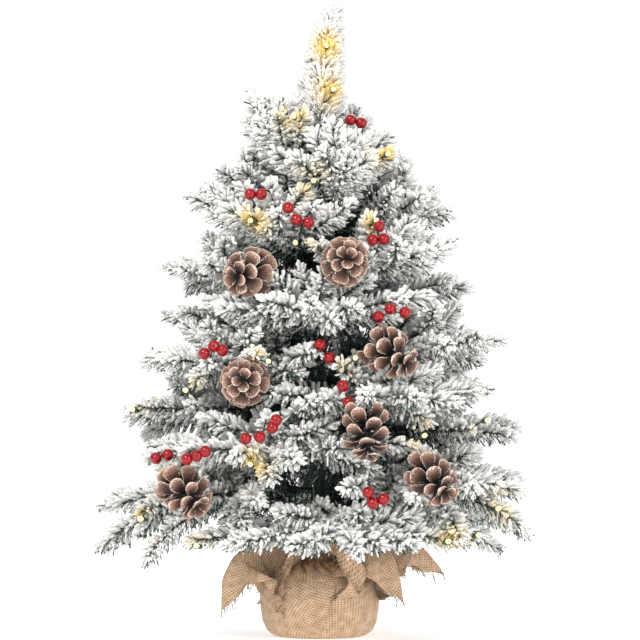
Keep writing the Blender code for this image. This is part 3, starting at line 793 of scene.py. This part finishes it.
LAMPS = []
for spots, depth in ((FRONT_LAMPS, LAMP_DEPTH), (BACK_LAMPS, -LAMP_DEPTH)):
    for across, height in spots:
        share = depth if height < LEADER_LAMPS else depth / 3
        target = crown_place(across / 1000, height / 1000, share)
        body, number, step = nearest(target)
        wire = PATHS[body][number][step]
        facing = unit(np.array([target[0] * 0.6, math.copysign(0.12, -depth), 0.03]))
        drawn = min(1.0, LAMP_FROM_WIRE / max(np.linalg.norm(target - wire), 1e-6))
        place = wire + (target - wire) * drawn + facing * LAMP_STANDS_OUT
        LAMPS.append((body, number, step, place, facing))
LAMP_PLACES = np.array([lamp[3] for lamp in LAMPS])

lens_finish = Shading("lamp_lens", Roughness=0.1, Emission_Strength=1.2)
glass = lens_finish.group(MOTTLE, Scale=300.0, Detail=2.0, Dark=(1.0, 0.76, 0.26), Light=(1.0, 0.86, 0.42))
lens_finish.to("Emission Color", glass["Colour"])
lens_finish.to("Base Color", glass["Colour"])
holder_finish = Shading("lamp_holder", Roughness=0.45)
holder_finish.mottled(
    0.2, 0.0002, Scale=500.0, Detail=3.0, Dark=(0.012, 0.04, 0.018), Light=(0.03, 0.08, 0.035)
)

leads = {}
share = np.linspace(0, 1, len(LENS_SHAPE))[:, None]
for count, (body, number, step, place, facing) in enumerate(LAMPS, 1):
    lens = tube(place + facing * share * LENS_LENGTH, LENS_SHAPE, 12)
    put(f"lamp_{count:02d}_lens", mesh_of("lens", *lens), lens_finish.material, body)
    cup = tube(place - facing * (HOLDER_LENGTH * (1 - share)), HOLDER_SHAPE, 12)
    put(f"lamp_{count:02d}_holder", mesh_of("holder", *cup), holder_finish.material, body)
    route = lead_route(body, number, step, place - facing * HOLDER_LENGTH)
    leads.setdefault(body, []).append(tube(route, 0.0007, 6))
for body, routes in leads.items():
    lead = put(f"{body}_lamp_leads", mesh_of("leads", *joined(routes)), green_wire.material, None)
    hinge = np.array(JOINTS[body]["pos_m"])
    way = unit(PATHS[body][0][3] - hinge)
    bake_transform(lead)


# ------------------------------------------------------------------ flocked needles
# Needles are cut strips of green film, caught in the twist of each wire so that they lean towards
# its tip. White flock was sprayed on from outside and above: it is thick there, thin underneath,
# and hardly reaches the trunk. Round each lamp the needles carry a painted glow: gold in colour,
# giving off light, and with their flock thinned.

NEEDLE_LENGTH = 0.0175
NEEDLES_PER_METRE = 1950
RINGS = np.array([0.0, 0.45, 0.92])
RING_SIDES = 3
NEEDLE_CURVE = 0.16  # how far a needle bends towards its wire's tip, of its length
NEEDLE_SAG = np.array([0, 0, 0.0012])
BARE_THICKNESS = 0.00030
MISSED = 0.20  # share of needles that the flock missed, and the share of the length that they show
UNCOATED_LENGTH = 0.84
NEEDLE_ROLL = 2.39996  # the turn from one needle to the next round the wire
# the reach of the painted lamp glow on the needles
PAINTED_GLOW_RADIUS = 0.0135

ORNAMENTS = {
    node: body
    for body, members in BODIES.items()
    for node in members
    if node.startswith(("pine_cone", "berry_spray"))
}
# cones: across, height, share of the crown's depth, and the way that the open end faces
CONES = (
    (24, 357, 1.0, (0.1, -1.0, 0.15)),
    (-70, 344, 0.89, (-0.45, -0.8, -0.15)),
    (-70, 246, 0.82, (-0.1, -1.0, 0.1)),
    (70, 268, 0.92, (0.75, -0.6, -0.45)),
    (43, 194, 0.89, (0.1, -0.45, -1.0)),
    (107, 152, 0.89, (0.5, -0.7, -0.5)),
    (-120, 140, 0.89, (0.5, -0.6, -0.5)),
    (-12, 300, -0.90, (0.0, 1.0, 0.1)),
    (-62, 215, -0.85, (-0.3, 1.0, -0.1)),
    (52, 150, -0.87, (0.2, 0.8, -0.5)),
)
# sprays: across, height, share of the crown's depth, and each berry's place from the middle
SPRAYS = (
    (-60, 419, 0.89, ((-5.2, 0), (5.2, 0))),
    (-20, 398, 0.89, ((-9.5, 8), (-2, -3), (9.3, -6))),
    (55, 381, 0.86, ((0, 8), (4.5, -4), (-6, -5))),
    (66, 309, 0.89, ((-12, -4), (-1, 3.5), (12.5, 0))),
    (4, 273, 0.76, ((-4, 6), (4.5, -6))),
    (-99, 275, 0.90, ((-8, -4), (1, 3), (9, -1))),
    (23, 235, 0.89, ((-2, 7), (3, -8))),
    (-51, 198, 0.89, ((-17, -4), (-4, -2.5), (7.5, 6), (11, 13))),
    (-115, 178, 0.98, ((-7, -3), (2, 0), (10, 4))),
    (-146, 176, 0.94, ((-5.5, -1.5), (5.5, 1.5))),
    (50, 140, 0.86, ((-6, 5), (-1.5, -5), (8, -1))),
    (34, 489, 0.62, ((-5, 1), (5, -2))),
    (-30, 350, -0.88, ((-8, -2), (0, 5), (9, 0))),
    (95, 215, -0.88, ((-8, 3), (1, -4), (9, 3))),
    (-110, 140, -0.88, ((-8, -2), (1, 4), (9, -1))),
)
CONE_MIDDLES = np.array([crown_place(a / 1000, h / 1000, d) for a, h, d, _ in CONES])
CONE_AXES = unit(np.array([facing for *_, facing in CONES]))
BERRIES = [
    [crown_place(a / 1000, h / 1000, d) + np.array([x, 0, z]) / 1000 for x, z in spots]
    for a, h, d, spots in SPRAYS
]
BERRY_PLACES = np.array([place for spray in BERRIES for place in spray])
# what needles keep clear of: the middles, the ball round each, and the radius and the start of the
# clear way in front of it
KEPT_CLEAR = ((CONE_MIDDLES, 0.026, 0.0225, 0.004), (BERRY_PLACES, 0.0, 0.0066, -0.007))


def in_the_way(points):
    """Whether needles ending at these points stand inside an ornament, or right in front of it."""
    hidden = np.zeros(len(points), bool)
    for places, ball, front_ball, behind in KEPT_CLEAR:
        for middle in places:
            away = points - middle
            front = unit(np.array([middle[0] * 0.4, middle[1], 0.0]))
            ahead = away @ front
            beside = np.linalg.norm(away - ahead[:, None] * front, axis=1)
            hidden |= (np.linalg.norm(away, axis=1) < ball) | ((ahead > behind) & (beside < front_ball))
    return hidden


def ripple(points, size):
    """A smooth noise from -1 to 1: crossed sine waves of about one wavelength."""
    x, y, z = (points / size * 2 * math.pi).T
    first, second = np.sin(x + 1.7 * np.sin(y * 0.7)), np.sin(y * 1.1 + 1.3 * np.sin(z))
    return sum((first, second, np.sin(z * 0.9 + 1.9 * np.sin(x * 0.8)))) / 3


def painted_glow_at(points):
    """How much painted lamp glow each point gets: a bell that falls off with distance from the nearest lamp.
    """
    glow = np.zeros(len(points))
    for lamp in LAMP_PLACES:
        away = np.linalg.norm(points - lamp, axis=1)
        glow = np.maximum(glow, np.exp(-((away / PAINTED_GLOW_RADIUS) ** 2)))
    return glow


def needles(path, random, bare, length_of, lean, crowd=1.0, missed=MISSED):
    """Needles round a wire: each is a bent, lumpy rod of three-sided rings that ends in a point."""
    length = np.linalg.norm(np.diff(path, axis=0), axis=1).sum()
    count = int(length * (1 - bare) * NEEDLES_PER_METRE * crowd)
    share = bare + (1 - bare) * (np.arange(count) + random.random(count)) / count
    steps = np.linspace(0, 1, len(path))
    root = at(share, steps, path)
    forward = unit(at(share, steps, np.gradient(path, axis=0)))
    level = np.where(np.abs(forward[:, 2:]) < 0.9, [[0, 0, 1.0]], [[1.0, 0, 0]])
    across = unit(np.cross(forward, level))
    over = np.cross(across, forward)
    roll = np.arange(count) * NEEDLE_ROLL + random.normal(0, 0.5, count)
    around = np.cos(roll)[:, None] * across + np.sin(roll)[:, None] * over
    end = np.clip((share - 0.86) / 0.14, 0, 1)
    tilt = np.radians(lean - 32 * end + random.normal(0, 12, count))[:, None]
    way = np.cos(tilt) * forward + np.sin(tilt) * around
    long = length_of(share) * random.uniform(0.72, 1.12, count)
    tip = root + way * long[:, None]
    keep = ~in_the_way(tip) & ~in_the_way((root + tip) / 2)
    root, way, forward, long, tip = root[keep], way[keep], forward[keep], long[keep], tip[keep]
    count = len(tip)
    middle = np.hypot(tip[:, 0], tip[:, 1]) / np.maximum(reach_at(tip[:, 2]), 0.03)
    outer = np.maximum(np.clip((middle - 0.26) / 0.34, 0, 1), np.clip((tip[:, 2] - 0.48) / 0.03, 0, 1))
    flock = outer * (0.76 + 0.48 * way[:, 2]) + 0.18 * ripple(tip, 0.030) + random.normal(0, 0.12, count)
    uncoated = random.random(count) < missed
    # near the lamps the flock is thinned by the painted lamp glow, so that the glow there is a deeper gold;
    # the needles get thinner there too
    flock = flock * np.where(uncoated, 0.2, 1.0) * (1 - 0.45 * painted_glow_at(tip))
    long = long * np.where(uncoated, UNCOATED_LENGTH, 1.0)
    flock = np.clip(flock, 0, 1)
    thick = 0.0005 + 0.0022 * flock * random.uniform(0.45, 1.15, count)
    v = RINGS[None, :, None]
    bent = v * way[:, None] + NEEDLE_CURVE * v * v * forward[:, None]
    spine = root[:, None] + long[:, None, None] * bent - NEEDLE_SAG * v * v
    coat = np.array([0.0, 0.85, 1.0]) * random.uniform(0.75, 1.2, (count, len(RINGS)))
    wide = BARE_THICKNESS + (thick[:, None] - BARE_THICKNESS) * coat
    first = unit(np.cross(way, np.array([0.31, 0.17, 0.93])))
    second = np.cross(way, first)
    turn = np.linspace(0, 2 * math.pi, RING_SIDES, endpoint=False)
    ring = np.cos(turn)[:, None] * first[:, None, None] + np.sin(turn)[:, None] * second[:, None, None]
    rings = spine[:, :, None] + wide[:, :, None, None] * ring
    point = root + long[:, None] * (way + NEEDLE_CURVE * forward) - NEEDLE_SAG
    point = point + way * thick[:, None] * 0.25
    points = np.concatenate([rings.reshape(count, -1, 3), point[:, None]], 1)
    per = points.shape[1]
    n = np.arange(RING_SIDES)
    quads = bands(len(RINGS), RING_SIDES)
    last = (len(RINGS) - 1) * RING_SIDES
    end = np.stack([last + n, last + (n + 1) % RING_SIDES, np.full(RING_SIDES, per - 1)], -1)
    tris = np.concatenate([end, n[::-1][None]])
    start = (np.arange(count) * per)[:, None, None]
    share_along = np.concatenate([np.repeat(RINGS, RING_SIDES), [1.0]])
    white = flock[:, None] * np.clip((share_along - 0.06) / 0.34, 0, 1)[None]
    tone = np.repeat(random.random(count), per)
    faces = [(quads[None] + start).reshape(-1, 4), (tris[None] + start).reshape(-1, 3)]
    return points.reshape(-1, 3), faces, white.ravel(), tone


def branch_needle(share):
    """Needles get a third shorter towards a tip."""
    return NEEDLE_LENGTH * (1 - 0.38 * share**3)


def leader_needle(share):
    """The leader's needles are long at its foot and short at its rounded top."""
    return NEEDLE_LENGTH * (1.50 - 0.75 * share**2.5)


# frost: where white flock covers a surface, from a wanted amount broken up by a noise
inside, given, result = shared_group(
    "frost", {"Vector": "Vector", "Amount": "Float", "Scale": "Float", "Ragged": "Float"}, {"Mask": "Float"}
)
lumps = inside.noise(given["Scale"], 2.0, 0.5, given["Vector"])
amount = inside.sum("MULTIPLY_ADD", inside.sum("SUBTRACT", lumps, 0.5), given["Ragged"], given["Amount"])
inside.tree.links.new(inside.step(amount, 0.20, 0.42), result["Mask"])
FROST = inside.tree

needle_finish = Shading(
    "flocked_needles", Roughness=0.92, Sheen_Weight=0.2, Sheen_Roughness=0.6, Emission_Strength=0.7
)
fluff = needle_finish.group(
    MOTTLE, Scale=620.0, Detail=4.0, Dark=(0.72, 0.73, 0.71), Light=(0.96, 0.945, 0.915)
)
cover = needle_finish.group(FROST, Amount=needle_finish.value("flock"), Scale=330.0, Ragged=1.3)["Mask"]
green = needle_finish.ramp(
    needle_finish.value("tone"),
    [
        (0.0, (0.006, 0.019, 0.017)),
        (0.45, (0.016, 0.058, 0.045)),
        (0.8, (0.045, 0.125, 0.085)),
        (1.0, (0.085, 0.17, 0.085)),
    ],
)
coated = needle_finish.mix(cover, green, fluff["Colour"])
# painted lamp light: near each lamp the needles' colour turns gold and they give off gold light, though only
# the lenses are lamps
glow = needle_finish.value("glow")
painted_glow_colour = needle_finish.mix(cover, (0.11, 0.085, 0.012), (0.58, 0.41, 0.09))
needle_finish.to("Base Color", needle_finish.mix(glow, coated, painted_glow_colour))
painted_glow_light = needle_finish.mix(cover, (0.20, 0.13, 0.008), (0.58, 0.39, 0.06))
needle_finish.to("Emission Color", needle_finish.mix(glow, (0.0, 0.0, 0.0), painted_glow_light))
needle_finish.bump(fluff["Height"], 0.8, 0.0008)

for number, (body, paths) in enumerate(PATHS.items()):
    random = np.random.default_rng(100 + number)
    if body == "leader":
        parts = [needles(path, random, 0.02, leader_needle, 66, 6.0, 0.10) for path in paths]
    else:
        parts = [needles(path, random, 0.05, branch_needle, 58) for path in paths]
    points, faces, flock, tone = zip(*parts)
    mesh = mesh_of("needles", *joined(list(zip(points, faces))))
    attribute(mesh, "flock", np.concatenate(flock))
    attribute(mesh, "tone", np.concatenate(tone))
    # the painted lamp glow on each point, read by the needle material
    attribute(mesh, "glow", painted_glow_at(np.concatenate(points)))
    piece = put(f"{body}_needles", mesh, needle_finish.material, body)
    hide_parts(body if body != "leader" else "leader_tip")


# ------------------------------------------------------------------ pine cones
# Real open cones, wired on by the stalk: woody scales set round a core by the golden angle, bare
# inside, with paler ends and a dusting of frost on their rims. Towards its root each scale is painted
# near black, as are the core and stalk: painted shade in the depths of the cone.

CONE_RADIUS, CONE_LENGTH = 0.0260, 0.048
SCALES = 27
SCALE_STATIONS = np.array([0.0, 0.25, 0.48, 0.68, 0.82, 0.92, 0.98, 1.0])
SCALE_WIDTH = np.array([0.30, 0.40, 0.62, 0.86, 1.0, 0.93, 0.66, 0.30])
SCALE_THICKNESS = np.array([0.5, 0.5, 0.55, 0.7, 0.95, 0.9, 0.6, 0.3]) / 1000
SCALE_SIDES = 10


def cone_scales(random):
    """Scales as cupped plates about +Z: their lift grows towards +Z, and their ends curl back."""
    place = (np.arange(SCALES) + 0.5) / SCALES
    turn = np.arange(SCALES) * GOLDEN_TURN + random.normal(0, 0.06, SCALES)
    out = np.stack([np.cos(turn), np.sin(turn), np.zeros(SCALES)], 1)
    side = np.stack([-np.sin(turn), np.cos(turn), np.zeros(SCALES)], 1)
    height = CONE_LENGTH * (-0.44 + 0.66 * place)
    lift = np.radians(-16 + 84 * place**1.7 + random.normal(0, 5, SCALES))
    envelope = CONE_RADIUS * np.sin(np.pi * (0.25 + 0.62 * place)) ** 0.7
    long = np.minimum(envelope / np.maximum(np.cos(lift), 0.30), 0.0250 - 0.0120 * place**3)
    long = long * random.uniform(0.93, 1.04, SCALES)
    half = 0.0080 * np.sin(np.pi * (0.24 + 0.62 * place)) ** 0.6 * random.uniform(0.9, 1.08, SCALES)
    v = SCALE_STATIONS[None, :, None]
    curl = lift[:, None, None] - 0.35 * v**3
    way = np.cos(curl) * out[:, None] + np.sin(curl) * UP
    spine = (height[:, None] * UP)[:, None] + long[:, None, None] * v * way
    top = unit(np.cross(way, np.broadcast_to(side[:, None], way.shape)))
    wide = half[:, None] * SCALE_WIDTH[None]
    angle = np.linspace(0, 2 * math.pi, SCALE_SIDES, endpoint=False)
    flat = np.sign(np.cos(angle)) * np.abs(np.cos(angle)) ** 0.8
    cup = 0.26 * flat**2 * wide[:, :, None]
    rings = (
        spine[:, :, None]
        + (wide[:, :, None] * flat)[..., None] * side[:, None, None]
        + (cup - SCALE_THICKNESS[None, :, None] * np.sin(angle))[..., None] * top[:, :, None]
    )
    stations = len(SCALE_STATIONS)
    n = np.arange(SCALE_SIDES)
    quads = bands(stations, SCALE_SIDES)
    caps = np.stack([n[::-1], n + (stations - 1) * SCALE_SIDES])
    start = (np.arange(SCALES) * stations * SCALE_SIDES)[:, None, None]
    faces = [(quads[None] + start).reshape(-1, 4), (caps[None] + start).reshape(-1, SCALE_SIDES)]
    shape = (SCALES, stations, SCALE_SIDES)
    along = np.broadcast_to(SCALE_STATIONS[None, :, None], shape).ravel()
    edge = np.abs(flat)[None, :] ** 4 * (SCALE_STATIONS > 0.4)[:, None]
    rim = np.broadcast_to(np.maximum(edge, (SCALE_STATIONS**10)[:, None])[None], shape).ravel()
    tone = np.repeat(random.random(SCALES), stations * SCALE_SIDES)
    return rings.reshape(-1, 3), faces, along, rim, tone


cone_finish = Shading("cone_scales", Roughness=0.72)
grain = cone_finish.group(MOTTLE, Scale=620.0, Detail=6.0, Dark=(0.42, 0.38, 0.36), Light=(1.0, 1.0, 1.0))
# painted shade: the scales darken to near black towards their roots; the paler ends are the wood's own colour
wood_and_painted_depth_shade = cone_finish.ramp(
    cone_finish.value("along"),
    [
        (0.0, (0.008, 0.004, 0.003)),
        (0.45, (0.030, 0.013, 0.009)),
        (0.74, (0.125, 0.058, 0.040)),
        (1.0, (0.42, 0.25, 0.19)),
    ],
)
wood_and_painted_depth_shade = cone_finish.mix(0.85, wood_and_painted_depth_shade, grain["Colour"], "MULTIPLY")
shades = cone_finish.ramp(cone_finish.value("tone"), [(0.0, (0.55, 0.50, 0.46)), (1.0, (1.25, 1.18, 1.12))])
wood_and_painted_depth_shade = cone_finish.mix(0.8, wood_and_painted_depth_shade, shades, "MULTIPLY")
frosted = cone_finish.sum("MULTIPLY", cone_finish.value("rim"), 0.42)
rime = cone_finish.group(FROST, Amount=frosted, Scale=900.0, Ragged=0.9)
cone_finish.to("Base Color", cone_finish.mix(rime["Mask"], wood_and_painted_depth_shade, (0.74, 0.60, 0.50)))
cone_finish.bump(grain["Height"], 0.8, 0.0009)


def turned_to(points, axis, place, spin=0.0):
    """Points about +Z turned so that +Z lies along an axis, and moved to a place."""
    around = np.array([[math.cos(spin), -math.sin(spin), 0], [math.sin(spin), math.cos(spin), 0], [0, 0, 1]])
    turn = np.array(Vector(axis).to_track_quat("Z", "Y").to_matrix()) @ around
    return points @ turn.T + place


def wire_to(body, place):
    """A short bowed wire from the branch's nearest wire to an ornament."""
    spots = np.concatenate([path[4:] for path in PATHS[body]])
    start = spots[np.linalg.norm(spots - place, axis=1).argmin()]
    share = np.linspace(0, 1, 9)[:, None]
    bow = np.array([0, 0, 0.004]) * np.sin(share * math.pi)
    return tube(start + (place - start) * share + bow, 0.0008, 6)


for number, (middle, axis) in enumerate(zip(CONE_MIDDLES, CONE_AXES), 1):
    name = f"pine_cone_{number:02d}"
    points, faces, along, rim, tone = cone_scales(np.random.default_rng(500 + number))
    points = turned_to(points, axis, middle, number * 1.3)
    core_path = middle + axis * np.linspace(-0.5, 0.24, 9)[:, None] * CONE_LENGTH
    core = tube(core_path, 0.0044 * np.sin(np.linspace(0.35, 2.8, 9)), 10)
    stalk = wire_to(ORNAMENTS[name], middle - axis * CONE_LENGTH * 0.4)
    mesh = mesh_of("cone", *joined([(points, faces), core, stalk]))
    # the core and stalk take the darkest colour of the scales' painted shade
    rest = np.zeros(len(core[0]) + len(stalk[0]))
    for values, attribute_name in ((along, "along"), (rim, "rim"), (tone, "tone")):
        attribute(mesh, attribute_name, np.concatenate([values, rest]))
    piece = put(f"{name}_scales", mesh, cone_finish.material, ORNAMENTS[name])
    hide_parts(name)


# ------------------------------------------------------------------ berry sprays
# Lacquered foam berries on thin wires, twisted together and taped behind the cluster.

BERRY_RADIUS = 0.0056
SPRAY_DEPTH = 0.009
BERRY_ROWS, BERRY_SIDES = 15, 24

berry_finish = Shading("berry_lacquer", Specular_IOR_Level=0.35, Coat_Weight=0.30, Coat_Roughness=0.06)
skin = berry_finish.group(
    MOTTLE, Scale=260.0, Detail=3.0, Dark=(0.22, 0.001, 0.004), Light=(0.33, 0.002, 0.007)
)
berry_finish.to("Base Color", berry_finish.mix(berry_finish.value("eye"), skin["Colour"], (0.05, 0.02, 0.01)))
berry_finish.to("Roughness", berry_finish.sum("MULTIPLY_ADD", skin["Height"], 0.16, 0.08))
berry_finish.bump(skin["Height"], 0.10, 0.0005)


def berry(centre, axis):
    """A ball with a small dimple where its calyx was: its radius dips by a bell round one pole."""
    lat = np.linspace(0, math.pi, BERRY_ROWS)[:, None]
    lon = np.linspace(0, 2 * math.pi, BERRY_SIDES, endpoint=False)[None]
    radius = BERRY_RADIUS * (1 - 0.10 * np.exp(-((lat / 0.22) ** 2)))
    out, up = radius * np.sin(lat), radius * np.cos(lat)
    grid = np.stack([out * np.cos(lon), out * np.sin(lon), up + 0 * lon], -1)
    points = np.concatenate([grid[1:-1].reshape(-1, 3), grid[0, :1], grid[-1, :1]])
    n, rows = np.arange(BERRY_SIDES), BERRY_ROWS - 2
    quads = bands(rows, BERRY_SIDES)[:, TURNED_OVER]
    crown, last = rows * BERRY_SIDES, (rows - 1) * BERRY_SIDES
    top = np.stack([np.full(BERRY_SIDES, crown), n, (n + 1) % BERRY_SIDES], -1)
    bottom = np.stack([np.full(BERRY_SIDES, crown + 1), last + (n + 1) % BERRY_SIDES, last + n], -1)
    dark = np.concatenate([np.repeat(np.exp(-((lat[1:-1, 0] / 0.13) ** 2)), BERRY_SIDES), [1.0, 0.0]])
    return turned_to(points, axis, centre), [quads, top, bottom], dark


for number, places in enumerate(BERRIES, 1):
    name = f"berry_spray_{number:02d}"
    random = np.random.default_rng(700 + number)
    fork = np.mean(places, 0) + np.array([0, -math.copysign(SPRAY_DEPTH, places[0][1]), 0])
    parts, eyes = [], []
    for place in places:
        axis = unit(np.array([random.normal(0, 0.8), -0.4, random.normal(0, 0.8)]))
        points, faces, dark = berry(place, axis)
        stem = tube(fork + (place - fork) * np.linspace(0, 1, 6)[:, None], 0.0005, 5)
        parts += [(points, faces), stem]
        eyes += [dark, np.ones(len(stem[0]))]
    parts.append(wire_to(ORNAMENTS[name], fork))
    eyes.append(np.ones(len(parts[-1][0])))
    mesh = mesh_of("spray", *joined(parts))
    attribute(mesh, "eye", np.concatenate(eyes))
    piece = put(f"{name}_berries", mesh, berry_finish.material, ORNAMENTS[name])
    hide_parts(name)
